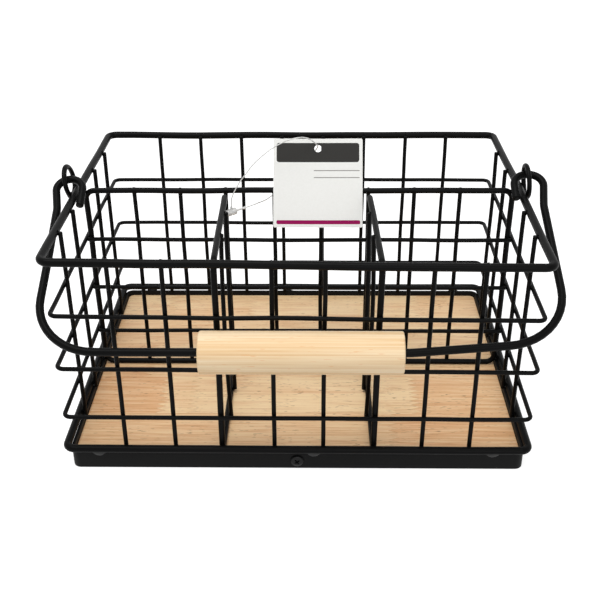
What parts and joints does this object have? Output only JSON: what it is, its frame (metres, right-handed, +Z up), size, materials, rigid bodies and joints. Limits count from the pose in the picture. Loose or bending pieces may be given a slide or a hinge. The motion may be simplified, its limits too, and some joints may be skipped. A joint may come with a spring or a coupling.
{
  "type": "wire cutlery caddy",
  "caption": "Rectangular black wire caddy on a wooden base, with divided compartments for cutlery and a swinging bail handle with a wooden grip.",
  "frame": {"origin": "middle of the base board's underside", "axes": "+X to the right along the caddy's length, +Y to the back, away from the resting bail, +Z up"},
  "size_m": [0.2986, 0.2238, 0.1681],
  "materials": {
    "coated_wire": "satin black powder coat on steel wire",
    "coated_band": "satin black powder coat on steel strip",
    "black_screw": "blackened steel",
    "base_wood": "finger-jointed hardwood, thin satin lacquer",
    "grip_wood": "pale straight-grained turned wood, sanded",
    "tag_card": "coated white card",
    "tag_nylon": "clear nylon"
  },
  "bodies": {
    "basket": {"top_rim": "coated_wire", "upper_ring": "coated_wire", "middle_ring": "coated_wire", "lower_ring": "coated_wire", "bottom_ring": "coated_wire", "front_uprights": "coated_wire", "back_uprights": "coated_wire", "left_uprights": "coated_wire", "right_uprights": "coated_wire", "long_divider_frame": "coated_wire", "long_divider_uprights": "coated_wire", "long_divider_rails": "coated_wire", "left_cross_frame": "coated_wire", "right_cross_frame": "coated_wire", "left_cross_uprights": "coated_wire", "right_cross_uprights": "coated_wire", "left_eyelet": "coated_wire", "right_eyelet": "coated_wire", "base_band": "coated_band", "base_board": "base_wood", "base_screws": "black_screw", "tack_welds": "coated_band", "swing_tag": "tag_card", "tag_loop": "tag_nylon", "tag_lock": "tag_nylon"},
    "bail": {"bail_wire": "coated_wire"},
    "grip": {"grip": "grip_wood"}
  },
  "joints": [
    {"name": "bail_swing", "type": "hinge", "parent": "basket", "child": "bail", "pos_m": [0, 0, 0.1451], "axis": [-1, 0, 0], "range_deg": [0, 234.7]},
    {"name": "grip_spin", "type": "hinge", "parent": "bail", "child": "grip", "pos_m": [0.0029, -0.1098, 0.0882], "axis": [1, 0, 0], "continuous": true}
  ]
}
